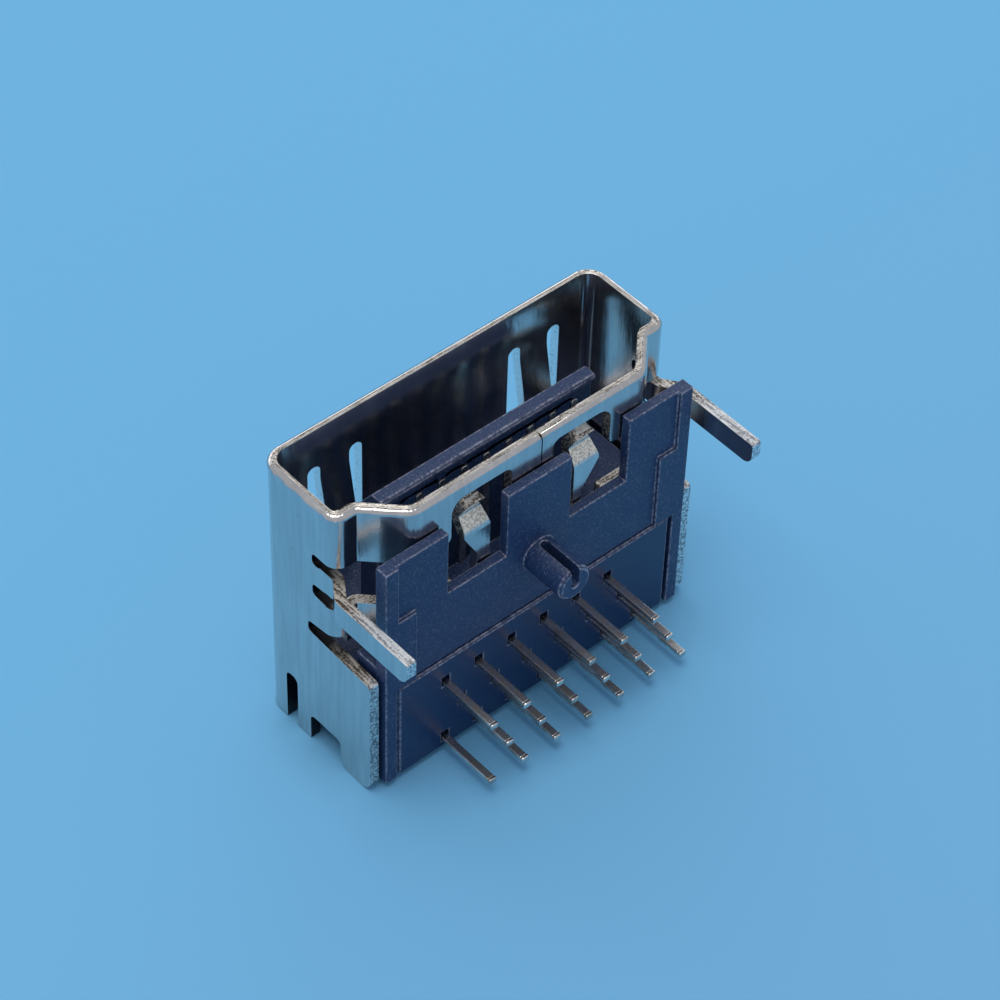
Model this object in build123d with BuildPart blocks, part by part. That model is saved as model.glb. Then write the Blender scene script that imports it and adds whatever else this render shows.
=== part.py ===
from build123d import *
import os

os.makedirs("parts", exist_ok=True)

# A vertical board socket for digital video.
# The mouth looks up and the tails leave towards the circuit board at the negative Y side.
# Depths are measured down from the rim and reaches from the wide wall's inner face to the board.

# Overall sizes
plate_bottom = 7.4
rear_depth = 4.85
floor_rise = 0.4
mouth_depth = plate_bottom - floor_rise
height = plate_bottom + rear_depth
sheet = 0.4
flare = 0.05
flare_depth = 0.6
rim_round = 0.16
rim_spread = flare * (flare_depth - rim_round) / flare_depth
tail_reach = 8.08
wall_y = (tail_reach - sheet - rim_spread) / 2
overcut = 0.3
fit_gap = 0.05

# Shell mouth, inside sizes
mouth_half = 7.0
mouth_height = 4.55
shelf_reach = 3.2
shelf_step = 0.675
shelf_half = mouth_half - shelf_step
slope_run = mouth_height - shelf_reach
narrow_half = shelf_half - slope_run
wide_bend = 0.4
shelf_bend = 0.15
slope_bend = 0.5

# Belts of the shell
strap_top = 4.5
strap_bottom = 6.1
belt_bottom = 2.42
seam_x = 0.4
seam_width = 0.05

# Windows in the narrow wall
window_inner = 0.9
window_outer = 3.55
window_top = 0.58
window_bend = 0.35
window_outer_bend = 0.6
root_top = 5.0
root_half = 3.35
root_bend = 0.1

# Spring fingers in the narrow wall
left_finger_x = -2.38
right_finger_x = 2.53
finger_width = 1.14
finger_tip_width = 0.78
finger_corner = 0.12
finger_knee = 2.65
finger_push = 0.48
finger_valley = 2.05
finger_return = 0.4
finger_tip = 1.3
neck_start = 2.75
neck_end = 3.85
neck_outer = 2.34
finger_knee_bend = 0.35
finger_valley_bend = 0.28
finger_plane = mouth_height + sheet / 2

# Spring fingers in the wide wall
wide_slot_inner = 3.57
wide_slot_outer = 5.38
wide_slot_width = 0.55
wide_slot_top = 1.6
wide_slot_bottom = 6.4
wide_finger_knee = 2.3
wide_finger_ridge = 4.9
wide_finger_push = 0.45
wide_finger_tip = 5.95
wide_finger_bend = 0.2
wide_finger_x = (wide_slot_inner + wide_slot_outer) / 2
wide_finger_width = wide_slot_outer - wide_slot_inner - wide_slot_width

# Board legs
leg_top = 2.85
leg_width = 0.97
leg_root = 2.75
leg_jog_start = 3.5
leg_jog_end = 4.3
leg_jog = 0.56
leg_reach = 7.9
leg_bend = 0.3
leg_lower_round = 0.42
leg_upper_round = 0.12
leg_bottom = leg_top + leg_width

# Slits that free the legs
slit_reach = 2.36
slit_open_reach = 3.3
slit_drop = 0.1
slit_round = 0.18
strap_slit_bottom = 4.42

# Rear tabs and rear flap
tab_reach = 5.33
tab_top = 6.7
tab_round = 0.55
tab_corner = 0.2
tab_slit_reach = 2.08
tab_slit_top = 6.0
tab_slit_bottom = 6.48
strap_knee = 3.3
strap_knee_depth = 5.83
strap_end_depth = 5.75
notch_start = 2.1
notch_end = 3.74
notch_rise = 1.3
relief_start = 0.79
relief_end = 1.4
relief_rise = 2.49
wall_rise = 0.05
cut_round = 0.25
flap_half = 6.25
flap_reach = 4.55
flap_bend = 0.15
flap_round = 0.4
flap_overlap = 1.0

# Housing
housing_half = 6.86
plate_back = mouth_height + sheet + fit_gap
plate_face = 5.4
pad_rise = 0.15
pad_width = 0.56
pad_low_width = 1.36
pad_step = 4.0
wing_half = 4.04
post_half = 1.43
plate_top = 1.32
sill_depth = 4.24
pocket_room = 0.2
pocket_depth = strap_bottom + pocket_room
floor_thick = 1.35
web_back = 4.0
skirt_rise = 0.25
skirt_inner = 6.36
floor_back = fit_gap

# Tongue
tongue_half = 4.8
tongue_top = 1.45
tongue_wide = 1.7
tongue_narrow = 2.85
tongue_tip_wide = 2.3
tongue_tip_narrow = 2.77
tongue_taper = 0.85
tongue_edge = 0.1
tongue_rim = 0.25
tongue_recess = 0.2
narrow_face = tongue_narrow - tongue_recess

# Locating peg
peg_x = 0.05
peg_depth = 5.08
peg_radius = 0.7
peg_reach = 7.28
peg_slot = 0.36
peg_slot_start = 5.55
peg_edge = 0.1

# Contacts
contact_count = 19
contact_pitch = 0.5
blade_width = 0.3
blade_thick = 0.2
blade_rise = 0.05
blade_top_wide = 2.4
blade_top_narrow = 2.3
blade_end_round = 0.13
row_rise = 0.65
row_pitch = 1.465
low_row_jog = 0.36
top_row_jog = -0.14
middle_row_jog = 0.11
row_rises = (row_rise, row_rise + 2 * row_pitch, row_rise + row_pitch)
row_jogs = (low_row_jog, top_row_jog, middle_row_jog)
jog_start = 3.4
jog_end = 4.3
contact_bend = 0.2
tail_point = 0.07
groove_gap = 0.01

# Tail spacer
spacer_half = 6.27
spacer_seam = 0.07
spacer_top = plate_bottom + spacer_seam
spacer_rise = 0.23
spacer_face = 5.5
spacer_back = 4.65
spacer_edge = 0.08
hole_gap = 0.03
hole_relief = 0.22


def y_at(reach):
    return wall_y - reach


def z_at(depth):
    return height - depth


def mouth_outline(spread, grow):
    half = mouth_half + spread
    right = [
        (half, y_at(-spread)),
        (half, y_at(shelf_reach)),
        (shelf_half, y_at(shelf_reach)),
        (narrow_half, y_at(mouth_height)),
    ]
    left = [(-x, y) for x, y in reversed(right)]
    bends = [wide_bend + spread, shelf_bend + spread, slope_bend, slope_bend]
    with BuildSketch() as outline:
        with BuildLine():
            FilletPolyline(*right, *left, radius=bends + bends[::-1], close=True)
        make_face()
        if grow > 0:
            offset(amount=grow)
    return outline.sketch


def wall_points(points):
    # Reach and depth pairs turned into positions on a side wall.
    return [(y_at(reach), z_at(depth)) for reach, depth in points]


side_cuts = [
    # Slit between the mouth belt and the leg.
    (
        [
            (slit_reach, belt_bottom),
            (slit_open_reach, belt_bottom),
            (slit_open_reach, leg_top),
            (slit_reach, leg_top + slit_drop),
        ],
        [slit_round, 0, 0, slit_round],
    ),
    # Slit between the leg and the strap.
    (
        [
            (slit_reach, leg_bottom + slit_drop),
            (slit_open_reach, leg_bottom),
            (slit_open_reach, strap_top),
            (slit_reach, strap_slit_bottom),
        ],
        [slit_round, 0, 0, slit_round],
    ),
    # Slit between the strap and the rear tab.
    (
        [
            (tab_slit_reach, tab_slit_top),
            (strap_knee, strap_knee_depth),
            (tab_reach + overcut, strap_end_depth),
            (tab_reach + overcut, tab_top),
            (tab_slit_reach, tab_slit_bottom),
        ],
        [slit_round, slit_round, 0, 0, slit_round],
    ),
    # Notch beside the rear tab.
    (
        [
            (notch_start, height + overcut),
            (notch_start, height - notch_rise),
            (notch_end, height - notch_rise),
            (notch_end, height + overcut),
        ],
        [0, cut_round, cut_round, 0],
    ),
    # Relief slot beside the rear flap.
    (
        [
            (relief_start, height + overcut),
            (relief_start, height - relief_rise),
            (relief_end, height - relief_rise),
            (relief_end, height + overcut),
        ],
        [0, cut_round, cut_round, 0],
    ),
]


with BuildPart() as shell:
    # The mouth tube runs from the strap's lower edge to the flare.
    with BuildSketch(Plane.XY.offset(z_at(strap_bottom))):
        add(mouth_outline(0, sheet))
        add(mouth_outline(0, 0), mode=Mode.SUBTRACT)
    extrude(amount=strap_bottom - flare_depth)
    # The rim spreads outwards on the wide wall and the side walls.
    with BuildSketch(Plane.XY.offset(z_at(flare_depth))):
        add(mouth_outline(0, sheet))
    with BuildSketch(Plane.XY.offset(height)):
        add(mouth_outline(flare, sheet))
    loft(ruled=True)
    with BuildSketch(Plane.XY.offset(z_at(flare_depth))):
        add(mouth_outline(0, 0))
    with BuildSketch(Plane.XY.offset(height)):
        add(mouth_outline(flare, 0))
    loft(ruled=True, mode=Mode.SUBTRACT)
    # The press rounds the outer edge of the rim.
    rim = shell.faces().sort_by(Axis.Z)[-1]
    fillet(rim.outer_wire().edges(), rim_round)
    # Behind the strap the wide wall and the flat side walls carry on.
    with BuildSketch() as rear_outline:
        with BuildLine():
            FilletPolyline(
                (mouth_half + sheet, y_at(tab_reach)),
                (mouth_half + sheet, y_at(-sheet)),
                (-mouth_half - sheet, y_at(-sheet)),
                (-mouth_half - sheet, y_at(tab_reach)),
                radius=[0, wide_bend + sheet, wide_bend + sheet, 0],
                close=True,
            )
        make_face()
        with BuildLine():
            FilletPolyline(
                (mouth_half, y_at(tab_reach + overcut)),
                (mouth_half, y_at(0)),
                (-mouth_half, y_at(0)),
                (-mouth_half, y_at(tab_reach + overcut)),
                radius=[0, wide_bend, wide_bend, 0],
                close=True,
            )
        make_face(mode=Mode.SUBTRACT)
    extrude(amount=z_at(strap_bottom))
    # Only half of the symmetric work is done, and mirrored afterwards.
    split(bisect_by=Plane.YZ)
    # The window and the gap that the leg is cut from.
    with BuildSketch(Plane.XZ.offset(-y_at(shelf_reach - shelf_bend))):
        with BuildLine():
            FilletPolyline(
                (window_inner, z_at(window_top)),
                (window_outer, z_at(window_top)),
                (window_outer, z_at(belt_bottom)),
                (mouth_half + sheet + overcut, z_at(belt_bottom)),
                (mouth_half + sheet + overcut, z_at(strap_top)),
                (root_half, z_at(strap_top)),
                (root_half, z_at(root_top)),
                (window_inner, z_at(root_top)),
                radius=[window_bend, window_outer_bend, cut_round, 0, 0, root_bend, root_bend, root_bend],
                close=True,
            )
        make_face()
    extrude(amount=mouth_height - shelf_reach + shelf_bend + sheet + overcut, mode=Mode.SUBTRACT)
    # Slits, notch and relief slot of the side wall.
    for outline, bends in side_cuts:
        with BuildSketch(Plane.YZ.offset(mouth_half - fit_gap)):
            with BuildLine():
                FilletPolyline(*wall_points(outline), radius=bends, close=True)
            make_face()
        extrude(amount=sheet + 2 * fit_gap, mode=Mode.SUBTRACT)
    # The rear edge of the walls sits above the tab's round end.
    with BuildSketch():
        with Locations((0, y_at(notch_start + overcut))):
            Rectangle(
                mouth_half + 2 * sheet,
                notch_start + overcut + 2 * sheet,
                align=(Align.MIN, Align.MIN),
            )
    extrude(amount=wall_rise, mode=Mode.SUBTRACT)
    fillet(shell.edges().filter_by(Axis.X).group_by(Axis.Z)[0], tab_round)
    tab_corner_at = Vector(mouth_half, y_at(tab_reach), z_at(tab_top))
    fillet(shell.edges().filter_by(Axis.X).sort_by_distance(tab_corner_at)[0], tab_corner)
    # The leg leaves the side wall, jogs outwards and runs on towards the board.
    with BuildSketch(Plane.XY.offset(z_at(leg_bottom))):
        with BuildLine():
            FilletPolyline(
                (mouth_half + sheet / 2, y_at(leg_root)),
                (mouth_half + sheet / 2, y_at(leg_jog_start)),
                (mouth_half + sheet / 2 + leg_jog, y_at(leg_jog_end)),
                (mouth_half + sheet / 2 + leg_jog, y_at(leg_reach)),
                radius=leg_bend,
            )
        trace(line_width=sheet)
    extrude(amount=leg_width)
    leg_end = shell.edges().filter_by(Axis.X).group_by(Axis.Y)[0].sort_by(Axis.Z)
    fillet(leg_end[0], leg_lower_round)
    leg_end = shell.edges().filter_by(Axis.X).group_by(Axis.Y)[0].sort_by(Axis.Z)
    fillet(leg_end[-1], leg_upper_round)
    # Slots of the wide wall leave a spring finger between each two, pushed into the mouth.
    with BuildSketch(Plane.XZ.offset(-y_at(-sheet - overcut))):
        for x in (wide_slot_inner, wide_slot_outer):
            with Locations((x, z_at((wide_slot_top + wide_slot_bottom) / 2))):
                SlotOverall(wide_slot_bottom - wide_slot_top, wide_slot_width, rotation=90)
        with Locations((wide_finger_x, z_at((wide_finger_knee + wide_slot_bottom) / 2))):
            Rectangle(wide_slot_outer - wide_slot_inner, wide_slot_bottom - wide_finger_knee)
    extrude(amount=sheet + 2 * overcut, mode=Mode.SUBTRACT)
    with BuildSketch(Plane.YZ.offset(wide_finger_x - wide_finger_width / 2)):
        with BuildLine():
            FilletPolyline(
                (y_at(-sheet / 2), z_at(wide_finger_knee - overcut)),
                (y_at(-sheet / 2), z_at(wide_finger_knee)),
                (y_at(wide_finger_push - sheet / 2), z_at(wide_finger_ridge)),
                (y_at(-sheet / 2), z_at(wide_finger_tip)),
                radius=wide_finger_bend,
            )
        trace(line_width=sheet)
    extrude(amount=wide_finger_width)
    mirror(about=Plane.YZ)
    # A spring finger stands in each window of the narrow wall and narrows to its tip.
    for finger_x in (left_finger_x, right_finger_x):
        with BuildSketch(Plane.YZ.offset(finger_x - finger_width / 2)):
            with BuildLine():
                FilletPolyline(
                    (y_at(finger_plane), z_at(root_top + overcut)),
                    (y_at(finger_plane), z_at(finger_knee)),
                    (y_at(finger_plane - finger_push), z_at(finger_valley)),
                    (y_at(finger_plane - finger_push + finger_return), z_at(finger_tip)),
                    radius=[finger_knee_bend, finger_valley_bend],
                )
            trace(line_width=sheet)
        extrude(amount=finger_width)
        with BuildSketch(Plane.XZ.offset(-y_at(finger_plane - finger_push - sheet))):
            for side in (-1, 1):
                with BuildLine():
                    Polyline(
                        (finger_x + side * finger_width / 2, z_at(finger_knee)),
                        (finger_x + side * finger_tip_width / 2, z_at(finger_tip + finger_corner)),
                        (finger_x + side * (finger_tip_width / 2 - finger_corner), z_at(finger_tip)),
                        (finger_x + side * (finger_tip_width / 2 - finger_corner), z_at(window_top + sheet)),
                        (finger_x + side * (finger_width / 2 + fit_gap), z_at(window_top + sheet)),
                        (finger_x + side * (finger_width / 2 + fit_gap), z_at(finger_knee)),
                        close=True,
                    )
                make_face()
        extrude(amount=finger_push + 2 * sheet, mode=Mode.SUBTRACT)
        # Below its knee the finger is cut slantwise down to a neck.
        outward = 1 if finger_x > 0 else -1
        finger_edge = finger_x + outward * finger_width / 2
        with BuildSketch(Plane.XZ.offset(-y_at(mouth_height - fit_gap))):
            with BuildLine():
                Polyline(
                    (outward * neck_outer, z_at(root_top)),
                    (outward * neck_outer, z_at(neck_end)),
                    (finger_edge, z_at(neck_start)),
                    (finger_edge + outward * fit_gap, z_at(neck_start)),
                    (finger_edge + outward * fit_gap, z_at(root_top)),
                    close=True,
                )
            make_face()
        extrude(amount=sheet + 2 * fit_gap, mode=Mode.SUBTRACT)
    # The rear flap folds from the wide wall over the back of the housing.
    with BuildSketch(Plane.YZ.offset(-flap_half)):
        with BuildLine():
            FilletPolyline(
                (y_at(-sheet / 2), wall_rise + flap_overlap),
                (y_at(-sheet / 2), sheet / 2),
                (y_at(flap_reach), sheet / 2),
                radius=flap_bend + sheet / 2,
            )
        trace(line_width=sheet)
    extrude(amount=2 * flap_half)
    fillet(shell.edges().filter_by(Axis.Z).group_by(Axis.Z)[0].group_by(Axis.Y)[0], flap_round)
    # The two ends of the folded sheet meet at a seam in the narrow wall.
    with BuildSketch(Plane.XY.offset(z_at(strap_bottom + overcut))):
        with Locations((seam_x, y_at(mouth_height + sheet / 2))):
            Rectangle(seam_width, sheet + 2 * overcut)
    extrude(amount=strap_bottom + 2 * overcut, mode=Mode.SUBTRACT)

shell.part.label = "shell"
export_step(shell.part, "parts/shell.step")

with BuildPart() as housing:
    # Front plate with the slot for the narrow wall behind it.
    with BuildSketch(Plane.XY.offset(z_at(plate_bottom))):
        with Locations((0, y_at(plate_face))):
            Rectangle(2 * housing_half, plate_face - web_back, align=(Align.CENTER, Align.MIN))
    extrude(amount=plate_bottom - plate_top)
    with BuildSketch(Plane.XY.offset(z_at(pocket_depth))):
        with Locations((0, y_at(plate_back))):
            Rectangle(2 * (housing_half + overcut), plate_back, align=(Align.CENTER, Align.MIN))
    extrude(amount=pocket_depth, mode=Mode.SUBTRACT)
    # Raised pads at both sides of the plate.
    with BuildSketch(Plane.XZ.offset(-y_at(plate_face))):
        for side in (-1, 1):
            with BuildLine():
                Polyline(
                    (side * housing_half, z_at(plate_top)),
                    (side * (housing_half - pad_width), z_at(plate_top)),
                    (side * (housing_half - pad_width), z_at(pad_step)),
                    (side * (housing_half - pad_low_width), z_at(pad_step)),
                    (side * (housing_half - pad_low_width), z_at(plate_bottom)),
                    (side * housing_half, z_at(plate_bottom)),
                    close=True,
                )
            make_face()
    extrude(amount=pad_rise)
    # Two windows, open at the top, uncover the spring fingers.
    with BuildSketch(Plane.XZ.offset(-y_at(plate_back - overcut))):
        for side in (-1, 1):
            with Locations((side * (wing_half + post_half) / 2, z_at(sill_depth))):
                Rectangle(wing_half - post_half, sill_depth, align=(Align.CENTER, Align.MIN))
    extrude(amount=plate_face - plate_back + 2 * overcut, mode=Mode.SUBTRACT)
    # Mouth floor.
    with BuildSketch(Plane.XY.offset(z_at(mouth_depth + floor_thick))):
        with Locations((0, y_at(floor_back))):
            Rectangle(
                2 * housing_half, spacer_back - 2 * fit_gap - floor_back, align=(Align.CENTER, Align.MAX)
            )
    extrude(amount=floor_thick)
    # Skirt walls at both sides of the tails.
    with BuildSketch(Plane.XY.offset(skirt_rise)):
        for side in (-1, 1):
            with Locations((side * (housing_half + skirt_inner) / 2, y_at(floor_back))):
                Rectangle(
                    housing_half - skirt_inner, plate_face + pad_rise - floor_back,
                    align=(Align.CENTER, Align.MAX),
                )
    extrude(amount=rear_depth - skirt_rise)
    # The corners beside the wide wall clear the shell's bends.
    corner_edges = housing.edges().filter_by(Axis.Z).group_by(Axis.Y)[-1]
    fillet(corner_edges.filter_by(lambda edge: abs(edge.center().X) > skirt_inner + fit_gap), wide_bend)
    # Tongue with a long chamfer on its wide side and a rim above the face of its narrow side.
    with BuildSketch(Plane.YZ.offset(-tongue_half)):
        with BuildLine():
            Polyline(
                (y_at(tongue_wide), z_at(mouth_depth)),
                (y_at(tongue_wide), z_at(tongue_top + tongue_taper)),
                (y_at(tongue_tip_wide), z_at(tongue_top)),
                (y_at(tongue_tip_narrow), z_at(tongue_top)),
                (y_at(tongue_narrow), z_at(tongue_top + tongue_edge)),
                (y_at(tongue_narrow), z_at(tongue_top + tongue_rim)),
                (y_at(narrow_face), z_at(tongue_top + tongue_rim + tongue_edge)),
                (y_at(narrow_face), z_at(mouth_depth)),
                close=True,
            )
        make_face()
    extrude(amount=2 * tongue_half)
    # Locating peg with its slot.
    with BuildSketch(Plane.XZ.offset(-y_at(plate_face - fit_gap))):
        with Locations((peg_x, z_at(peg_depth))):
            Circle(peg_radius)
    extrude(amount=peg_reach - plate_face + fit_gap)
    chamfer(housing.edges().group_by(Axis.Y)[0], peg_edge)
    with BuildSketch(Plane.XY.offset(z_at(peg_depth))):
        with Locations((peg_x, y_at(peg_reach + peg_slot))):
            SlotOverall(2 * (peg_reach + peg_slot - peg_slot_start), peg_slot, rotation=90)
    extrude(amount=peg_radius, mode=Mode.SUBTRACT)
    # The slot's bottom is round.
    with BuildSketch(Plane.XZ.offset(-y_at(peg_slot_start + peg_slot / 2))):
        with Locations((peg_x, z_at(peg_depth))):
            Circle(peg_slot / 2)
    extrude(amount=peg_reach - peg_slot_start, mode=Mode.SUBTRACT)
    # Grooves and floor passages for the contacts.
    for index in range(contact_count):
        wide = index % 2 == 0
        blade_x = (index - (contact_count - 1) / 2) * contact_pitch
        groove_reach = tongue_wide - blade_rise if wide else narrow_face + blade_rise
        groove_depth = blade_thick + groove_gap if wide else -blade_thick - groove_gap
        groove_top = (blade_top_wide if wide else blade_top_narrow) - groove_gap
        groove_end = mouth_depth + floor_thick + overcut
        with BuildSketch(Plane.XZ.offset(-y_at(groove_reach))):
            with Locations((blade_x, z_at((groove_top + groove_end) / 2))):
                SlotOverall(groove_end - groove_top, blade_width + 2 * groove_gap, rotation=90)
        extrude(amount=groove_depth, mode=Mode.SUBTRACT)

housing.part.label = "housing"
export_step(housing.part, "parts/housing.step")

with BuildPart() as tail_spacer:
    with BuildSketch(Plane.XY.offset(spacer_rise)):
        with Locations((0, y_at(spacer_face))):
            Rectangle(2 * spacer_half, spacer_face - spacer_back, align=(Align.CENTER, Align.MIN))
    extrude(amount=z_at(spacer_top) - spacer_rise)
    chamfer(tail_spacer.edges().group_by(Axis.Y)[0], spacer_edge)
    with BuildSketch(Plane.XZ.offset(-y_at(spacer_back - overcut))):
        for index in range(contact_count):
            tail_x = (index - (contact_count - 1) / 2) * contact_pitch + row_jogs[index % 3]
            tail_low = row_rises[index % 3] - blade_thick / 2 - hole_gap
            with Locations((tail_x, tail_low)):
                Rectangle(
                    blade_width + 2 * hole_gap, blade_thick + 2 * hole_gap + hole_relief,
                    align=(Align.CENTER, Align.MIN),
                )
    extrude(amount=spacer_face - spacer_back + 2 * overcut, mode=Mode.SUBTRACT)

tail_spacer.part.label = "tail_spacer"
export_step(tail_spacer.part, "parts/tail_spacer.step")

for index in range(contact_count):
    wide = index % 2 == 0
    blade_x = (index - (contact_count - 1) / 2) * contact_pitch
    blade_reach = tongue_wide - blade_rise if wide else narrow_face + blade_rise - blade_thick
    blade_top = blade_top_wide if wide else blade_top_narrow
    tail_rise = row_rises[index % 3]
    tail_x = blade_x + row_jogs[index % 3]
    with BuildPart() as contact:
        # Blade in the tongue, bent towards the board behind the mouth floor.
        with BuildSketch(Plane.YZ.offset(blade_x - blade_width / 2)):
            with BuildLine():
                FilletPolyline(
                    (y_at(blade_reach + blade_thick / 2), z_at(blade_top)),
                    (y_at(blade_reach + blade_thick / 2), tail_rise),
                    (y_at(jog_start), tail_rise),
                    radius=contact_bend,
                )
            trace(line_width=blade_thick)
        extrude(amount=blade_width)
        fillet(contact.edges().filter_by(Axis.Y).group_by(Axis.Z)[-1], blade_end_round)
        # Tail, moved sideways to its place in the row.
        with BuildSketch(Plane.XY.offset(tail_rise - blade_thick / 2)):
            with BuildLine():
                Polyline(
                    (blade_x - blade_width / 2, y_at(jog_start)),
                    (blade_x + blade_width / 2, y_at(jog_start)),
                    (tail_x + blade_width / 2, y_at(jog_end)),
                    (tail_x + blade_width / 2, y_at(tail_reach)),
                    (tail_x - blade_width / 2, y_at(tail_reach)),
                    (tail_x - blade_width / 2, y_at(jog_end)),
                    close=True,
                )
            make_face()
        extrude(amount=blade_thick)
        chamfer(contact.faces().sort_by(Axis.Y)[0].edges(), tail_point)
    contact.part.label = f"contact_{index + 1:02d}"
    export_step(contact.part, f"parts/contact_{index + 1:02d}.step")
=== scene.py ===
# %% [markdown]
# # A vertical board socket for digital video
#
# The real object is about 16 mm wide. A folded, nickel-plated sheet makes the shell and its two
# legs. A dark plastic housing fills the shell from behind and carries the tongue. Nineteen thin
# contacts leave through a spacer plate as tails in three rows. It was photographed from above on
# a pale blue ground. The sizes come with the frame, so this lesson is about rounded edges, metal
# that mirrors its surroundings, grained plastic, small repeated parts and soft light.

import math

import bmesh
import bpy
from mathutils import Matrix, Vector
from mathutils.bvhtree import BVHTree


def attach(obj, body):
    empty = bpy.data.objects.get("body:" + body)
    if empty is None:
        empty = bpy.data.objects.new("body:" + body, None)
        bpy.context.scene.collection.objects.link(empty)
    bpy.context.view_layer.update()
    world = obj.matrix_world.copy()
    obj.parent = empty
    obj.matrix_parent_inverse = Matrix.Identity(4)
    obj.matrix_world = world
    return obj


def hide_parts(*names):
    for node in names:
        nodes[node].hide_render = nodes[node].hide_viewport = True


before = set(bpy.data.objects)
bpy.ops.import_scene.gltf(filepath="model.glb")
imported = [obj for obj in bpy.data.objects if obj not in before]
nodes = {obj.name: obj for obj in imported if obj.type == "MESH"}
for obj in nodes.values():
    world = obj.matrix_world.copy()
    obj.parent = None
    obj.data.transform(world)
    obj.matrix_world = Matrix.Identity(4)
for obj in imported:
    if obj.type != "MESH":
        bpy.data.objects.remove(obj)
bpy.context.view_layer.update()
contact_names = sorted(name for name in nodes if name.startswith("contact_"))
MM = 0.001
print("nodes:", len(nodes), "contacts:", len(contact_names))

# %% [markdown]
# ## The camera
#
# The photograph looks down at the socket with a long lens, so parallel edges stay nearly
# parallel. A camera could be placed by eye. Here it stands at a named distance and angle from a
# point in the middle of the socket, because then one number changes one thing. It is rolled by
# two degrees, because the photograph isn't quite level.

# %% Camera
look_at = Vector((0.45, 0.902, 7.5)) * MM
distance = 118.65 * MM
azimuth = math.radians(-42.63)
elevation = math.radians(46.51)
roll = math.radians(1.99)
lens = 123.87

camera = bpy.data.objects.new("camera", bpy.data.cameras.new("camera"))
bpy.context.scene.collection.objects.link(camera)
camera.data.lens = lens
camera.data.clip_start = 5 * MM
camera.data.clip_end = 10.0
towards_camera = Vector(
    (
        math.sin(azimuth) * math.cos(elevation),
        -math.cos(azimuth) * math.cos(elevation),
        math.sin(elevation),
    )
)
level = (-towards_camera).to_track_quat("-Z", "Y").to_matrix().to_4x4()
camera.matrix_world = (
    Matrix.Translation(look_at + towards_camera * distance) @ level @ Matrix.Rotation(roll, 4, "Z")
)
bpy.context.scene.camera = camera
print("camera at", [round(v * 1000, 1) for v in camera.matrix_world.translation], "mm")

# %% [markdown]
# ## A short way to write node trees
#
# Each finish below is a small tree of shader nodes. Adding and linking them one by one takes many
# lines, so one helper adds a node, sets its options and fills its sockets. A socket gets either a
# value or the output of another node.


# %% Node helpers
def put(tree, kind, sockets=None, **options):
    """Adds a node, sets its options, and fills its sockets with values or links."""
    added = tree.nodes.new(kind)
    for name, value in options.items():
        setattr(added, name, value)
    for name, value in (sockets or {}).items():
        fill(tree, added.inputs[name], value)
    return added


def fill(tree, socket, value):
    """Gives a socket a value, or a link if the value is another node's output."""
    if isinstance(value, bpy.types.NodeSocket):
        tree.links.new(value, socket)
    else:
        socket.default_value = value


def new_material(name):
    """An empty material with its shader, ready for its own texture nodes."""
    material = bpy.data.materials.new(name)
    material.use_nodes = True
    tree = material.node_tree
    return material, tree, tree.nodes["Principled BSDF"]


def object_place(tree):
    """The place of each point in the object's own metres."""
    return put(tree, "ShaderNodeTexCoord").outputs["Object"]


def stretched(tree, place, scale):
    """The same place, but drawn out along the axes whose scale is small."""
    return put(tree, "ShaderNodeMapping", {"Vector": place, "Scale": scale}).outputs["Vector"]


def axes_of(tree, vector):
    """The parts of a vector, by the names X, Y and Z."""
    return put(tree, "ShaderNodeSeparateXYZ", {"Vector": vector}).outputs


def calculate(tree, operation, *values):
    """The result of a sum on one or more values."""
    return put(tree, "ShaderNodeMath", dict(enumerate(values)), operation=operation).outputs[0]


def noise(tree, place, size, detail=2.0, rough=0.5):
    """Noise whose blobs are about size metres across."""
    return put(
        tree,
        "ShaderNodeTexNoise",
        {"Vector": place, "Scale": 1 / size, "Detail": detail, "Roughness": rough},
    ).outputs["Fac"]


def span(tree, value, low, high, to_low, to_high):
    """Maps a value from one range onto another, and keeps it there."""
    return put(
        tree,
        "ShaderNodeMapRange",
        {"Value": value, "From Min": low, "From Max": high, "To Min": to_low, "To Max": to_high},
    ).outputs["Result"]


def blend(tree, amount, first, second):
    """A colour between two, by amount."""
    mix = put(tree, "ShaderNodeMix", {"Factor": amount}, data_type="RGBA")
    # A mix node keeps its colour sockets behind the ones for numbers and vectors.
    first_colour, second_colour, mixed_colour = mix.inputs[6], mix.inputs[7], mix.outputs[2]
    fill(tree, first_colour, first)
    fill(tree, second_colour, second)
    return mixed_colour


def bump(tree, height, depth, normal=None):
    """Turns a height into a surface normal. Depth is in metres."""
    sockets = {"Height": height, "Distance": depth, "Strength": 1.0}
    if normal is not None:
        sockets["Normal"] = normal
    return put(tree, "ShaderNodeBump", sockets).outputs["Normal"]


print("node helpers ready")

# %% [markdown]
# ## Nickel plating
#
# The plating is a mirror with small faults. Two noises are drawn out along Z, one broad and one
# fine, and make streaks down the sheet. A third, even noise breaks the edges of every reflection,
# and a few pits stay dark. The colour is the slightly warm grey of nickel: the blue in the
# photograph belongs to the ground that the metal mirrors.

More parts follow.
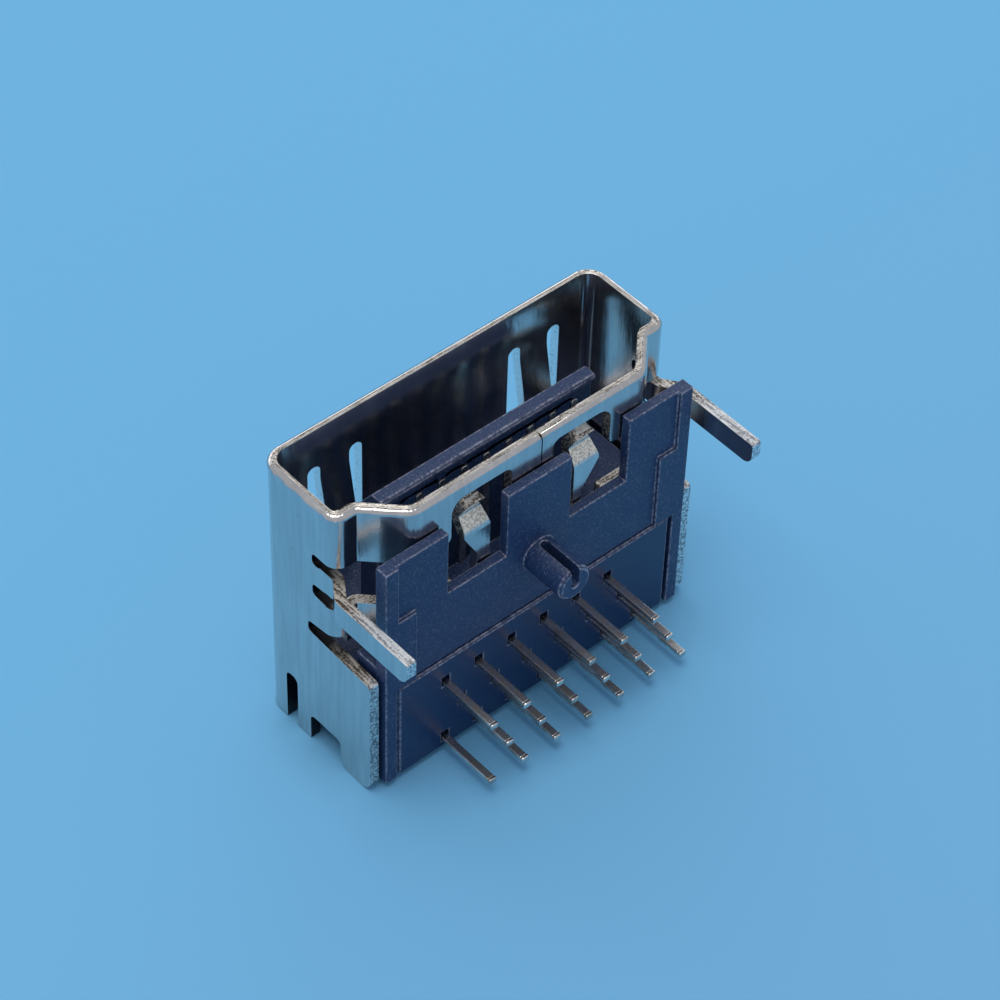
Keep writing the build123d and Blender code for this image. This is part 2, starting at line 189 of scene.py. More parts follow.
# %% Plated sheet
nickel, tree, shader = new_material("nickel_plating")
place = object_place(tree)
down_the_sheet = stretched(tree, place, (1.0, 1.0, 0.07))
broad_streaks = noise(tree, down_the_sheet, 0.24 * MM, 3.0, 0.6)
fine_streaks = noise(tree, down_the_sheet, 0.07 * MM, 2.0, 0.6)
cloud = noise(tree, place, 1.6 * MM, 3.0)
grain = noise(tree, place, 0.08 * MM, 3.0, 0.6)
pit_mask = span(tree, noise(tree, place, 0.11 * MM, 3.0, 0.6), 0.70, 0.74, 0.0, 0.9)
streak_mask = span(tree, broad_streaks, 0.40, 0.62, 0.0, 0.5)
metal_tone = blend(tree, cloud, (0.58, 0.55, 0.53, 1), (0.72, 0.69, 0.67, 1))
streaked_tone = blend(tree, streak_mask, metal_tone, (0.50, 0.47, 0.46, 1))
pitted_tone = blend(tree, pit_mask, streaked_tone, (0.10, 0.10, 0.11, 1))
shader.inputs["Metallic"].default_value = 1.0
skin = bump(tree, broad_streaks, 0.0055 * MM)
skin = bump(tree, fine_streaks, 0.0016 * MM, skin)
skin = bump(tree, grain, 0.0030 * MM, skin)
tree.links.new(skin, shader.inputs["Normal"])
print("made", nickel.name)

# %% [markdown]
# ## Painted highlight on upward faces
#
# The spring fingers are matt and speckled where they face upwards. Their colour there is a pale
# cream, which is a painted highlight of the light from above. The direction of the surface picks
# these patches out, and the height leaves the rim as it is.

# %% Painted highlight on upward faces of the plating
highlight_up_to = 11.5 * MM
highlight_fade = 0.1 * MM
upward_roughness = 0.26
direction = put(tree, "ShaderNodeNewGeometry").outputs["Normal"]
upward = span(tree, axes_of(tree, direction)["Z"], 0.25, 0.5, 0.0, 1.0)
height = axes_of(tree, place)["Z"]
below_rim = span(tree, height, highlight_up_to, highlight_up_to + highlight_fade, 1.0, 0.0)
wear_and_highlight = calculate(tree, "MULTIPLY", upward, below_rim)
speckle = span(tree, noise(tree, place, 0.09 * MM, 3.0, 0.6), 0.44, 0.60, 0.0, 1.0)
# Painted highlight: faces that look upwards get a pale speckled cream for the light from above.
highlight_tone = blend(tree, speckle, (0.92, 0.84, 0.74, 1), (0.56, 0.49, 0.41, 1))
tree.links.new(blend(tree, wear_and_highlight, pitted_tone, highlight_tone), shader.inputs["Base Color"])
plain_roughness = span(tree, cloud, 0.3, 0.7, 0.12, 0.22)
roughness = calculate(tree, "MULTIPLY_ADD", wear_and_highlight, upward_roughness, plain_roughness)
tree.links.new(roughness, shader.inputs["Roughness"])
print("rubbed up to", round(highlight_up_to / MM, 2), "mm")

# %% [markdown]
# ## Worn edges of the plating
#
# Fingers and trays rub the edges first. They are smoother than the flat sheet, so they draw thin
# bright lines, and where the nickel is rubbed through the brown base metal shows. The rounding
# tool below gives its new faces a finish of their own, which is this one.

# %% Worn nickel edge
nickel_edge, tree, shader = new_material("nickel_worn_edge")
place = object_place(tree)
wear_and_highlight = noise(tree, place, 0.16 * MM, 3.0, 0.6)
grain = noise(tree, place, 0.05 * MM, 2.0)
worn_through = span(tree, wear_and_highlight, 0.60, 0.68, 0.0, 1.0)
edge_tone = blend(tree, worn_through, (0.72, 0.68, 0.63, 1), (0.34, 0.27, 0.21, 1))
tree.links.new(edge_tone, shader.inputs["Base Color"])
tree.links.new(span(tree, wear_and_highlight, 0.45, 0.68, 0.16, 0.36), shader.inputs["Roughness"])
shader.inputs["Metallic"].default_value = 1.0
tree.links.new(bump(tree, grain, 0.0015 * MM), shader.inputs["Normal"])
print("made", nickel_edge.name)

# %% [markdown]
# ## Cut faces of the sheet
#
# A press shears the sheet. The sheared face keeps fine lines along the cut and torn specks, brown
# where the base metal is bare. The lines follow the cut, so on the side walls they run along Y
# and everywhere else along X. The place across the socket tells the two apart.

# %% Cut sheet
side_wall_x = 7.0 * MM
side_wall_fade = 0.1 * MM
cut_metal, tree, shader = new_material("cut_sheet_edge")
place = object_place(tree)
axes = axes_of(tree, place)
lines_along_x = noise(tree, stretched(tree, place, (0.09, 1.0, 1.0)), 0.09 * MM, 2.0)
lines_along_y = noise(tree, stretched(tree, place, (1.0, 0.09, 1.0)), 0.09 * MM, 2.0)
from_middle = calculate(tree, "ABSOLUTE", axes["X"])
on_side_wall = span(tree, from_middle, side_wall_x - side_wall_fade, side_wall_x, 0.0, 1.0)
lines = put(
    tree,
    "ShaderNodeMix",
    {"Factor": on_side_wall, "A": lines_along_x, "B": lines_along_y},
    data_type="FLOAT",
).outputs["Result"]
tears = noise(tree, place, 0.08 * MM, 4.0, 0.7)
torn = calculate(tree, "ADD", lines, tears)
bare = span(tree, torn, 0.90, 1.08, 0.0, 1.0)
bare_tone = blend(tree, bare, (0.13, 0.10, 0.08, 1), (0.80, 0.74, 0.66, 1))
tree.links.new(span(tree, tears, 0.3, 0.7, 0.28, 0.45), shader.inputs["Roughness"])
shader.inputs["Metallic"].default_value = 1.0
torn_skin = bump(tree, lines, 0.005 * MM)
torn_skin = bump(tree, tears, 0.005 * MM, torn_skin)
tree.links.new(torn_skin, shader.inputs["Normal"])
print("made", cut_metal.name)

# %% [markdown]
# ## Places where a cut looks different
#
# In the photograph the cuts of the wide wall and of the legs are paler than the rest, and the blind
# ends of the slits in the side walls are almost black, as they lie in the shade of the narrow
# slits. The blind ends are painted almost black, which is a painted shade. Each is told by its
# place.

# %% Tones of the cuts, by place
wide_wall_y = 3.5 * MM
wide_wall_fade = 0.1 * MM
rim_starts = 12.0 * MM
rim_fade = 0.05 * MM
leg_starts, leg_is_pale = -0.9 * MM, -1.8 * MM
slit_starts, slit_is_dark = 0.1 * MM, 0.8 * MM
slits_up_to = 10.9 * MM
slits_fade = 0.1 * MM
slot_speck = span(tree, tears, 0.36, 0.44, 0.0, 1.0)
slot_tone = blend(tree, slot_speck, (0.40, 0.39, 0.38, 1), (0.92, 0.90, 0.88, 1))
in_wide_wall = span(tree, axes["Y"], wide_wall_y, wide_wall_y + wide_wall_fade, 0.0, 1.0)
under_rim = span(tree, axes["Z"], rim_starts, rim_starts + rim_fade, 1.0, 0.0)
in_slot = calculate(tree, "MULTIPLY", in_wide_wall, under_rim)
leg_speck = span(tree, torn, 0.90, 1.05, 0.0, 1.0)
leg_tone = blend(tree, leg_speck, (0.34, 0.34, 0.35, 1), (0.88, 0.88, 0.88, 1))
on_leg = span(tree, axes["Y"], leg_is_pale, leg_starts, 1.0, 0.0)
cut_tone = blend(tree, in_slot, blend(tree, on_leg, bare_tone, leg_tone), slot_tone)
# Painted shade: the low blind ends of the slits in the side walls are painted almost black.
blind_end = span(tree, axes["Y"], slit_starts, slit_is_dark, 0.0, 1.0)
low_down = span(tree, axes["Z"], slits_up_to, slits_up_to + slits_fade, 1.0, 0.0)
low_blind_end = calculate(tree, "MULTIPLY", blind_end, low_down)
painted_slit_shade = calculate(tree, "MULTIPLY", low_blind_end, on_side_wall)
cut_tone = blend(tree, painted_slit_shade, cut_tone, (0.03, 0.03, 0.035, 1))
tree.links.new(cut_tone, shader.inputs["Base Color"])
print("cuts have tones for the wide wall, the legs and the slits")

# %% [markdown]
# ## Moulded plastic
#
# The housing is a nearly black, bluish plastic filled with short glass fibres. The mould leaves a
# fine grain, and fibres near the surface show as pale specks. The specks come from a second,
# finer noise that is cut off high, so only its peaks remain. Edges are rubbed a little paler.

# %% Housing plastic
plastic, tree, shader = new_material("housing_plastic")
place = object_place(tree)
grain = noise(tree, place, 0.10 * MM, 4.0, 0.65)
specks = noise(tree, place, 0.08 * MM, 2.0)
cloud = noise(tree, place, 1.2 * MM, 3.0)
tone = blend(tree, cloud, (0.007, 0.026, 0.085, 1), (0.012, 0.038, 0.120, 1))
tone = blend(tree, span(tree, specks, 0.54, 0.70, 0.0, 0.55), tone, (0.13, 0.15, 0.24, 1))
tree.links.new(tone, shader.inputs["Base Color"])
tree.links.new(span(tree, cloud, 0.3, 0.7, 0.40, 0.52), shader.inputs["Roughness"])
tree.links.new(bump(tree, grain, 0.022 * MM), shader.inputs["Normal"])
print("made", plastic.name)

# %% Rubbed plastic edge
plastic_edge, tree, shader = new_material("housing_rubbed_edge")
place = object_place(tree)
wear_and_highlight = noise(tree, place, 0.14 * MM, 3.0, 0.7)
paler = span(tree, wear_and_highlight, 0.42, 0.62, 0.0, 1.0)
tone = blend(tree, paler, (0.04, 0.055, 0.11, 1), (0.24, 0.25, 0.34, 1))
tree.links.new(tone, shader.inputs["Base Color"])
tree.links.new(span(tree, wear_and_highlight, 0.4, 0.7, 0.30, 0.42), shader.inputs["Roughness"])
tree.links.new(bump(tree, wear_and_highlight, 0.006 * MM), shader.inputs["Normal"])
print("made", plastic_edge.name)

# %% [markdown]
# ## Spacer plastic
#
# The plate that spaces the tails is smoother than the housing, and mirrors the roots of the
# tails. It is the same dark colour with less grain and a lower roughness.

# %% Spacer plastic
spacer_plastic, tree, shader = new_material("spacer_plastic")
place = object_place(tree)
grain = noise(tree, place, 0.08 * MM, 3.0, 0.6)
cloud = noise(tree, place, 1.5 * MM, 2.0)
tone = blend(tree, cloud, (0.003, 0.016, 0.068, 1), (0.006, 0.022, 0.090, 1))
tree.links.new(tone, shader.inputs["Base Color"])
tree.links.new(span(tree, cloud, 0.3, 0.7, 0.24, 0.36), shader.inputs["Roughness"])
tree.links.new(bump(tree, grain, 0.004 * MM), shader.inputs["Normal"])
print("made", spacer_plastic.name)

# %% [markdown]
# ## Tinned contacts
#
# The contacts are cut from a thin strip and tinned. Their long faces keep lines from the cutting,
# which run the way the tail runs. The noise is stretched along Y for that.

# %% Tin
tin, tree, shader = new_material("contact_tin")
place = object_place(tree)
lines = noise(tree, stretched(tree, place, (1.0, 0.1, 1.0)), 0.05 * MM, 3.0, 0.6)
cloud = noise(tree, place, 0.4 * MM, 3.0)
brighter = span(tree, cloud, 0.35, 0.65, 0.0, 1.0)
tone = blend(tree, brighter, (0.46, 0.42, 0.38, 1), (0.76, 0.74, 0.71, 1))
tree.links.new(tone, shader.inputs["Base Color"])
tree.links.new(span(tree, cloud, 0.3, 0.7, 0.32, 0.20), shader.inputs["Roughness"])
shader.inputs["Metallic"].default_value = 1.0
tree.links.new(bump(tree, lines, 0.004 * MM), shader.inputs["Normal"])
print("made", tin.name)

# %% [markdown]
# ## Rounded edges
#
# No real edge is perfectly sharp, and on metal it is the rounded edge that catches the light. The
# meshes in the frame have sharp edges. The helpers below copy one, join its loose triangles,
# remove the lines inside flat faces and bevel what is left. It could be done in the shader too,
# but a real bevel also shows in the outline. The bevel's own faces get the last finish of the
# list, which is the worn one.
#
# Each edge gets a weight, which is the share of the full width that its neighbours leave room
# for. So a narrow face stays whole beside a wide one. On the shell such weights threw out spikes
# beside the slits, so the shell has one width for all its edges. In the end a guard puts every
# point that strayed from the old surface back on it, and keeps all of them inside the old box.


# %% Mesh helpers
same_point = 0.0005 * MM
same_plane = math.radians(1.0)


def joined_copy(node):
    """The node's mesh as one closed surface, with its triangles joined."""
    mesh = nodes[node].data.copy()
    mesh.materials.clear()
    work = bmesh.new()
    work.from_mesh(mesh)
    bmesh.ops.remove_doubles(work, verts=work.verts, dist=same_point)
    work.to_mesh(mesh)
    work.free()
    return mesh


def flatten(mesh):
    """Removes the triangle lines inside flat faces of one material."""
    work = bmesh.new()
    work.from_mesh(mesh)
    bmesh.ops.dissolve_limit(
        work,
        angle_limit=same_plane,
        verts=work.verts,
        edges=work.edges,
        delimit={"MATERIAL"},
    )
    work.to_mesh(mesh)
    work.free()


def add_piece(name, mesh):
    """Puts a finished mesh at the origin and lets it ride on the root."""
    mesh.name = name
    piece = bpy.data.objects.new(name, mesh)
    bpy.context.scene.collection.objects.link(piece)
    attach(piece, "root")
    print(name, "has", len(mesh.polygons), "faces")
    return piece


print("mesh helpers ready")

# %% Room for a rounding
# A neighbour counts as steep if it leaves the edge by more than 30 degrees, which is a sine of
# 0.5. One that leaves it by 2 to 30 degrees is slight, and the bevel slides along it.
steep_sine, slight_sine = 0.5, 0.04
steep_share, slight_share = 0.42, 0.6
looks_up = 0.3


def room_beside(edge, width):
    """How far an edge can be rounded before its neighbours are eaten up."""
    along = (edge.verts[1].co - edge.verts[0].co).normalized()
    room = width
    for corner in edge.verts:
        for other in corner.link_edges:
            if other is edge or not set(other.link_faces) & set(edge.link_faces):
                continue
            side = other.other_vert(corner).co - corner.co
            across = (side - along * side.dot(along)).length
            if across > steep_sine * side.length:
                room = min(room, steep_share * across)
            elif across > slight_sine * side.length:
                room = min(room, slight_share * side.length_squared / across)
    return room


def weigh_edges(mesh, width, sharpest, drawn_above):
    """Marks the edges to round, apart from those of the drawn rim, and weighs them by room."""
    work = bmesh.new()
    work.from_mesh(mesh)
    weight = work.edges.layers.float.new("bevel_weight_edge")
    marked = 0
    for edge in work.edges:
        if len(edge.link_faces) != 2 or edge.calc_face_angle(0.0) < math.radians(sharpest):
            continue
        on_rim = edge.verts[0].co.z > drawn_above
        if on_rim and all(face.normal.z > looks_up for face in edge.link_faces):
            continue
        edge.smooth = False
        edge[weight] = room_beside(edge, width) / width
        marked += 1
    work.to_mesh(mesh)
    work.free()
    return marked


print("a steep neighbour gives up to", steep_share, "of its width")

# %% Rounding
stray_share = 0.5


def rounded_copy(name, mesh, width, sharpest, one_width, last_material):
    """The mesh with its marked edges bevelled."""
    sharp = bpy.data.objects.new(name + "_sharp", mesh)
    bpy.context.scene.collection.objects.link(sharp)
    bevel = sharp.modifiers.new("round", "BEVEL")
    bevel.width = width
    bevel.segments = 3
    bevel.limit_method = "ANGLE" if one_width else "WEIGHT"
    bevel.angle_limit = math.radians(sharpest)
    bevel.use_clamp_overlap = one_width
    bevel.harden_normals = True
    bevel.material = last_material
    evaluated = sharp.evaluated_get(bpy.context.evaluated_depsgraph_get())
    rounded = bpy.data.meshes.new_from_object(evaluated)
    bpy.data.objects.remove(sharp)
    return rounded


def keep_to(rounded, mesh, furthest):
    """Puts points that strayed back on the old surface, and keeps all inside the old box."""
    low = [min(v.co[axis] for v in mesh.vertices) for axis in range(3)]
    high = [max(v.co[axis] for v in mesh.vertices) for axis in range(3)]
    work = bmesh.new()
    work.from_mesh(mesh)
    old_surface = BVHTree.FromBMesh(work)
    work.free()
    strayed = 0
    for vertex in rounded.vertices:
        on_surface, _, _, away = old_surface.find_nearest(vertex.co)
        if away > furthest:
            vertex.co = on_surface
            strayed += 1
        vertex.co = [min(max(vertex.co[axis], low[axis]), high[axis]) for axis in range(3)]
    return strayed


def show(
    name,
    mesh,
    materials,
    round_by,
    stands_for,
    sharpest=32,
    drawn_above=math.inf,
    one_width=False,
):
    """Rounds a mesh, gives it its finishes and puts it in the place of its node."""
    for material in materials:
        mesh.materials.append(material)
    mesh.shade_smooth()
    marked = weigh_edges(mesh, round_by, sharpest, drawn_above)
    print(name, "has", marked, "edges to round")
    rounded = rounded_copy(name, mesh, round_by, sharpest, one_width, len(materials) - 1)
    strayed = keep_to(rounded, mesh, stray_share * round_by)
    print(name, "had", strayed, "points put back on the surface")
    piece = add_piece(name, rounded)
    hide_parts(stands_for)


print("a point has strayed at", stray_share, "of the rounding")

# %% [markdown]
# ## The shell
#
# A face belongs to the skin of the sheet if the other skin lies one sheet thickness behind it.
# A cut face has far more metal behind it. A ray sent inwards from each triangle tells the two
# apart, so no face has to be picked by hand. Only the round edge of the rim is told by its
# direction: the press drew it over, so it is skin.
#
# The round of the rim is widened a little, because it is worn. The flat of the rim is lowered a
# hair, to make room for the shear lines that come later.

# %% Skin and cut faces of the shell
sheet = 0.4 * MM
inside_by = 0.01 * MM
skin_reach = 1.3 * sheet
skin_finish, cut_finish = 0, 1
upright_up_to, flat_from = 0.05, 0.99


def slopes_up(face):
    """Whether a face leans upwards without lying flat, as the round of the rim does."""
    return upright_up_to < face.normal.z < flat_from


rim_top = max(v.co.z for v in nodes["shell"].data.vertices)
shell_mesh = joined_copy("shell")
work = bmesh.new()
work.from_mesh(shell_mesh)
tree_of_faces = BVHTree.FromBMesh(work)
for face in work.faces:
    start = face.calc_center_median() - face.normal * inside_by
    hit_distance = tree_of_faces.ray_cast(start, -face.normal)[3]
    is_skin = hit_distance is None or hit_distance <= skin_reach
    drawn_over = start.z > rim_top - sheet and slopes_up(face)
    face.material_index = skin_finish if is_skin or drawn_over else cut_finish
print("cut faces:", sum(face.material_index for face in work.faces))

# %% Worn round of the rim
rim_round = 0.16 * MM
worn_round = 0.22 * MM
rim_drop = 0.02 * MM
hair = 0.001 * MM
lowest_rise = -0.01
extra = worn_round - rim_round

moves = []
for vertex in work.verts:
    rise = (vertex.co.z - rim_top + rim_round) / rim_round
    if rise < lowest_rise or not any(slopes_up(face) for face in vertex.link_faces):
        continue
    outward = Vector((vertex.normal.x, vertex.normal.y, 0.0)).normalized()
    level_part = min(max(rise, 0.0), 1.0)
    outer_part = math.sqrt(1 - level_part**2)
    inwards = -outward * extra * (1 - outer_part)
    moves.append((vertex, inwards - Vector((0, 0, extra * (1 - level_part)))))
for vertex, move in moves:
    vertex.co += move
for vertex in work.verts:
    if vertex.co.z > rim_top - hair:
        vertex.co.z = rim_top - rim_drop
work.to_mesh(shell_mesh)
work.free()
flatten(shell_mesh)
print("points of the rim rounded further:", len(moves))

# %% Shell
shell_rounding = 0.04 * MM
drawn_depth = 0.5 * MM
show(
    "shell_sheet",
    shell_mesh,
    [nickel, cut_metal, nickel_edge],
    shell_rounding,
    "shell",
    sharpest=50,
    drawn_above=rim_top - drawn_depth,
    one_width=True,
)

# %% [markdown]
# ## The housing and the spacer
#
# Both are moulded blocks with small radii, as wide as their narrow faces allow.

# %% Housing and spacer
housing_rounding = 0.045 * MM
spacer_rounding = 0.04 * MM
housing_mesh = joined_copy("housing")
flatten(housing_mesh)
show(
    "housing_moulding",
    housing_mesh,
    [plastic, plastic_edge],
    housing_rounding,
    "housing",
)
spacer_mesh = joined_copy("tail_spacer")
flatten(spacer_mesh)
show(
    "spacer_plate",
    spacer_mesh,
    [spacer_plastic, plastic_edge],
    spacer_rounding,
    "tail_spacer",
)

# %% [markdown]
# ## The contacts
#
# Nineteen small strips, each its own piece. Each tail is shortened by half the length of a tip,
# and the middle of its end is kept for the tips that come next.

# %% Contacts
tip_length = 0.14 * MM
tip_inset = 0.012 * MM
end_depth = 0.1 * MM
contact_rounding = 0.04 * MM
tips = []
for name in contact_names:
    contact_mesh = joined_copy(name)
    end = min(v.co.y for v in contact_mesh.vertices)
    end_ring = [v for v in contact_mesh.vertices if v.co.y < end + end_depth]
    middle = sum((v.co for v in end_ring), Vector()) / len(end_ring)
    tips.append(Vector((middle.x, end + tip_length / 2 + tip_inset, middle.z)))
    for vertex in end_ring:
        vertex.co.y += tip_length / 2
    flatten(contact_mesh)
    show(name + "_strip", contact_mesh, [tin], contact_rounding, name)
print("tails that wait for a tip:", len(tips))

# %% [markdown]
# ## A helper for geometry nodes
#
# Some details repeat, or follow a path. They are grown from a few points by geometry nodes, with
# named inputs that can be changed in one place. When the result is right it becomes a plain mesh,
# because a plain mesh can be used anywhere.


# %% Geometry node helpers
def grow(name, seed_mesh, build, inputs):
    """Runs a geometry node group on a mesh and returns the result as a plain mesh."""
    group = bpy.data.node_groups.new(name, "GeometryNodeTree")
    group.interface.new_socket("Geometry", in_out="INPUT", socket_type="NodeSocketGeometry")
    for label, (kind, _) in inputs.items():
        group.interface.new_socket(label, in_out="INPUT", socket_type=kind)
    group.interface.new_socket("Geometry", in_out="OUTPUT", socket_type="NodeSocketGeometry")
    build(group)
    host = bpy.data.objects.new(name + "_host", seed_mesh)
    bpy.context.scene.collection.objects.link(host)
    modifier = host.modifiers.new("grow", "NODES")
    modifier.node_group = group
    for item in group.interface.items_tree:
        if item.in_out == "INPUT" and item.name in inputs:
            modifier[item.identifier] = inputs[item.name][1]
    evaluated = host.evaluated_get(bpy.context.evaluated_depsgraph_get())
    grown = bpy.data.meshes.new_from_object(evaluated)
    host.modifiers.clear()
    bpy.data.objects.remove(host)
    return grown


def finish_group(group, geometry, material):
    """Makes the copies real, gives them a material and hands them to the group's output."""
    real = put(group, "GeometryNodeRealizeInstances", {"Geometry": geometry})
    finished = put(
        group,
        "GeometryNodeSetMaterial",
        {"Geometry": real.outputs["Geometry"], "Material": material},
    )
    put(group, "NodeGroupOutput", {"Geometry": finished.outputs["Geometry"]})


def random_vector(group, seed, low, high):
    """A different vector for each point, between low and high."""
    chance = put(group, "FunctionNodeRandomValue", {"Seed": seed}, data_type="FLOAT_VECTOR")
    chance.inputs["Min"].default_value = low
    chance.inputs["Max"].default_value = high
    return chance.outputs["Value"]


print("geometry node helpers ready")

# %% [markdown]
# ## Tail tips
#
# Every tail ends in a small bright cushion of tin. One cushion, a soft cube, is set on each of
# the nineteen points, with a slightly different length and turn.


# %% Tail tips
def build_tips(group):
    """Sets a soft cube on every point."""
    ins = put(group, "NodeGroupInput").outputs
    size = put(
        group,
        "ShaderNodeCombineXYZ",
        {"X": ins["Width"], "Y": ins["Length"], "Z": ins["Thickness"]},
    ).outputs[0]
    cube = put(
        group,
        "GeometryNodeMeshCube",
        {"Size": size, "Vertices X": 2, "Vertices Y": 2, "Vertices Z": 2},
    )
    cushion = put(
        group,
        "GeometryNodeSubdivisionSurface",
        {"Mesh": cube.outputs["Mesh"], "Level": 2, "Edge Crease": ins["Squareness"]},
    )
    smooth = put(group, "GeometryNodeSetShadeSmooth", {"Geometry": cushion.outputs["Mesh"]})
    turn = random_vector(group, ins["Seed"], (-0.03, -0.05, -0.03), (0.03, 0.05, 0.03))
    stretch = random_vector(group, ins["Seed"], (0.96, 0.86, 0.96), (1.0, 1.0, 1.0))
    placed = put(
        group,
        "GeometryNodeInstanceOnPoints",
        {
            "Points": ins["Geometry"],
            "Instance": smooth.outputs["Geometry"],
            "Rotation": turn,
            "Scale": stretch,
        },
    )
    finish_group(group, placed.outputs["Instances"], ins["Material"])


tip_points = bpy.data.meshes.new("tip_points")
tip_points.from_pydata([tuple(p) for p in tips], [], [])
tip_mesh = grow(
    "tail_tips",
    tip_points,
    build_tips,
    {
        "Width": ("NodeSocketFloat", 0.33 * MM),
        "Thickness": ("NodeSocketFloat", 0.23 * MM),
        "Length": ("NodeSocketFloat", tip_length),
        "Squareness": ("NodeSocketFloat", 0.55),
        "Seed": ("NodeSocketInt", 7),
        "Material": ("NodeSocketMaterial", tin),
    },
)
add_piece("tail_tips", tip_mesh)

# %% [markdown]
# ## Shear lines on the rim
#
# Seen close, the flat of the rim isn't plain. The press leaves fine raised lines that run all the
# way round with the edge. They follow one path, the middle of the flat, so that path is drawn
# once as corners with bends. Geometry nodes copy it sideways and sweep a thin round thread along
# each copy. A noise thins the threads here and there, so that they come and go.


# %% Rim path
def bent_path(corners, bends, steps):
    """Walks round the corners and replaces each by an arc of its own radius."""
    points = []
    for i, corner in enumerate(corners):
        before, after = corners[i - 1], corners[(i + 1) % len(corners)]
        a = (before - corner).normalized()
        b = (after - corner).normalized()
        half_angle = a.angle(b) / 2
        reach = bends[i] / math.tan(half_angle)
        centre = corner + (a + b).normalized() * bends[i] / math.sin(half_angle)
        first, last = corner + a * reach - centre, corner + b * reach - centre
        for step in range(steps + 1):
            arm = first.lerp(last, step / steps)
            points.append(centre + arm.normalized() * bends[i])
    return points


# The mouth, inside the sheet.
mouth_half = 7.0 * MM
mouth_height = 4.55 * MM
narrow_half = 4.975 * MM
shelf_reach = 3.2 * MM
wall_y = 3.8217 * MM
flare = 0.05 * MM

# From the inside of the sheet to the middle of the flat that the round of the rim leaves.
flat_middle = 0.115 * MM

side_x = mouth_half + flare + flat_middle
shelf_y = wall_y - shelf_reach - flat_middle
narrow_y = wall_y - mouth_height - flat_middle
slant = narrow_half + mouth_height + flat_middle * math.sqrt(2) - wall_y
corners = [
    Vector((side_x, wall_y + flare + flat_middle)),
    Vector((side_x, shelf_y)),
    Vector((slant + shelf_y, shelf_y)),
    Vector((slant + narrow_y, narrow_y)),
]
corners += [Vector((-p.x, p.y)) for p in reversed(corners)]
bends = [0.6 * MM, 0.3 * MM, 0.4 * MM, 0.5 * MM]
rim_path = bent_path(corners, bends + bends[::-1], steps=6)
print("points along the rim:", len(rim_path))

# %% Shear lines
thread_places = (-1.0, 0.1, 0.9)
thin_spot_size = 0.8 * MM
thread_radius = 0.018 * MM
under_the_top = 0.0005 * MM


def build_lines(group):
    """Copies the path sideways and sweeps a thread along each copy."""
    ins = put(group, "NodeGroupInput").outputs
    path = put(group, "GeometryNodeMeshToCurve", {"Mesh": ins["Geometry"]})
    even = put(
        group,
        "GeometryNodeResampleCurve",
        {"Curve": path.outputs["Curve"], "Length": ins["Step"]},
        mode="LENGTH",
    )
    tangent = put(group, "GeometryNodeInputTangent").outputs["Tangent"]
    sideways = put(
        group,
        "ShaderNodeVectorMath",
        {0: tangent, 1: (0.0, 0.0, 1.0)},
        operation="CROSS_PRODUCT",
    )
    joined = put(group, "GeometryNodeJoinGeometry")
    for place_across in thread_places:
        offset = put(
            group,
            "ShaderNodeVectorMath",
            {
                0: sideways.outputs[0],
                "Scale": calculate(group, "MULTIPLY", ins["Spread"], place_across),
            },
            operation="SCALE",
        )
        moved = put(
            group,
            "GeometryNodeSetPosition",
            {"Geometry": even.outputs["Curve"], "Offset": offset.outputs[0]},
        )
        group.links.new(moved.outputs["Geometry"], joined.inputs["Geometry"])
    wave = put(
        group,
        "ShaderNodeTexNoise",
        {"Scale": 1 / thin_spot_size, "W": ins["Seed"]},
        noise_dimensions="4D",
    )
    thickness = span(group, wave.outputs["Fac"], 0.40, 0.56, 0.25, 1.0)
    thread = put(
        group,
        "GeometryNodeCurvePrimitiveCircle",
        {"Resolution": 6, "Radius": ins["Radius"]},
    )
    swept = put(
        group,
        "GeometryNodeCurveToMesh",
        {
            "Curve": joined.outputs["Geometry"],
            "Profile Curve": thread.outputs["Curve"],
            "Scale": thickness,
            "Fill Caps": True,
        },
    )
    smooth = put(group, "GeometryNodeSetShadeSmooth", {"Geometry": swept.outputs["Mesh"]})
    finish_group(group, smooth.outputs["Geometry"], ins["Material"])


level_of_lines = rim_top - thread_radius - under_the_top
path_mesh = bpy.data.meshes.new("rim_path")
path_mesh.from_pydata(
    [(p.x, p.y, level_of_lines) for p in rim_path],
    [(i, (i + 1) % len(rim_path)) for i in range(len(rim_path))],
    [],
)
line_mesh = grow(
    "shear_lines",
    path_mesh,
    build_lines,
    {
        "Step": ("NodeSocketFloat", 0.12 * MM),
        "Spread": ("NodeSocketFloat", 0.05 * MM),
        "Radius": ("NodeSocketFloat", thread_radius),
        "Seed": ("NodeSocketFloat", 3.0),
        "Material": ("NodeSocketMaterial", nickel_edge),
    },
)
add_piece("rim_shear_lines", line_mesh)
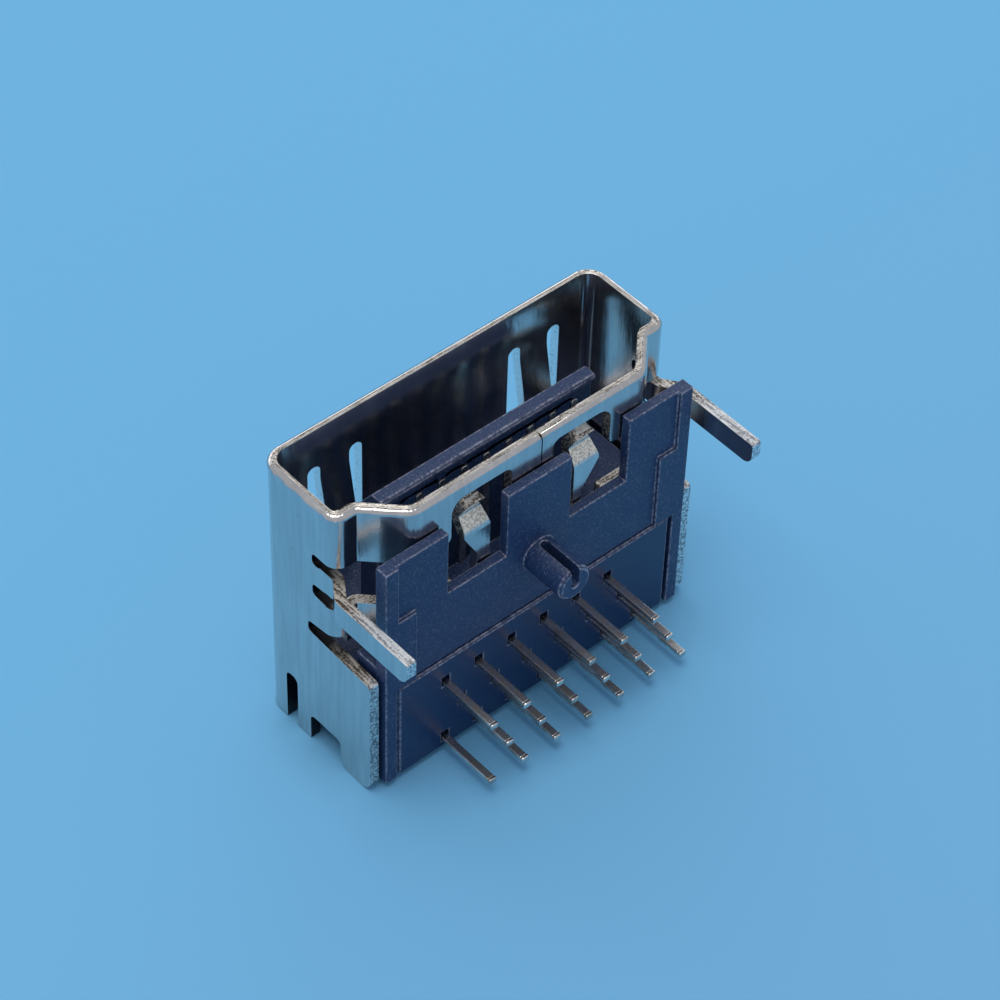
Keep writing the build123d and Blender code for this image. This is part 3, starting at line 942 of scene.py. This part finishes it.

# %% [markdown]
# ## Ground and light
#
# The socket stands on pale blue paper, painted a little greyer and darker towards the front, which
# is a painted fall-off of the light. The paper is wide enough to fill every mirror on the shell
# that looks down. One soft box hangs above. A long low one stands behind and draws the thin white
# line along the rim. The rest is even light from all round, which keeps the shadows soft.

# %% Ground
paper_half = 1.5
front_y, back_y = -25 * MM, 20 * MM
ground, tree, shader = new_material("ground_paper")
place = object_place(tree)
fibres = noise(tree, place, 0.35 * MM, 3.0, 0.6)
# Painted light: the paper turns a little greyer and darker towards the front, a painted fall-off of
# the light.
painted_light_falloff = span(tree, axes_of(tree, place)["Y"], front_y, back_y, 1.0, 0.0)
paper_tone = blend(tree, painted_light_falloff, (0.164, 0.462, 0.752, 1), (0.176, 0.440, 0.705, 1))
tree.links.new(paper_tone, shader.inputs["Base Color"])
tree.links.new(bump(tree, fibres, 0.004 * MM), shader.inputs["Normal"])
shader.inputs["Roughness"].default_value = 0.9
shader.inputs["Specular IOR Level"].default_value = 0.1
ground_mesh = bpy.data.meshes.new("ground")
signs = ((-1, -1), (1, -1), (1, 1), (-1, 1))
ground_mesh.from_pydata([(x * paper_half, y * paper_half, 0) for x, y in signs], [], [(0, 1, 2, 3)])
ground_mesh.materials.append(ground)
floor = bpy.data.objects.new("ground", ground_mesh)
bpy.context.scene.collection.objects.link(floor)
print("the paper is", 2 * paper_half, "m wide")

# %% Even light
world = bpy.data.worlds.new("studio")
bpy.context.scene.world = world
world.use_nodes = True
tree = world.node_tree
tree.nodes.clear()
even_strength = 0.62
even_colour = (0.80, 0.86, 0.95, 1)
even_light = put(tree, "ShaderNodeBackground", {"Color": even_colour, "Strength": even_strength})
put(tree, "ShaderNodeOutputWorld", {"Surface": even_light.outputs[0]})
print("even light of strength", even_strength)


# %% Lamps
def soft_box(name, place, width, height, radiance, colour):
    """A soft light that looks at the socket. Its power follows from its brightness and area."""
    lamp = bpy.data.lights.new(name, "AREA")
    lamp.shape = "RECTANGLE"
    lamp.size = width
    lamp.size_y = height
    lamp.energy = radiance * math.pi * width * height
    lamp.color = colour
    box = bpy.data.objects.new(name, lamp)
    bpy.context.scene.collection.objects.link(box)
    aim = (look_at - place).to_track_quat("-Z", "Y")
    box.matrix_world = Matrix.Translation(place) @ aim.to_matrix().to_4x4()
    print(name, "power", round(lamp.energy, 2), "W")


soft_box("soft_box_above", Vector((-0.10, 0.02, 0.65)), 0.38, 0.38, 3.9, (1.0, 0.96, 0.90))
soft_box("soft_box_low", Vector((0.25, 0.50, 0.19)), 1.20, 0.22, 1.5, (1.0, 0.98, 0.96))
bpy.context.scene.view_settings.view_transform = "Standard"
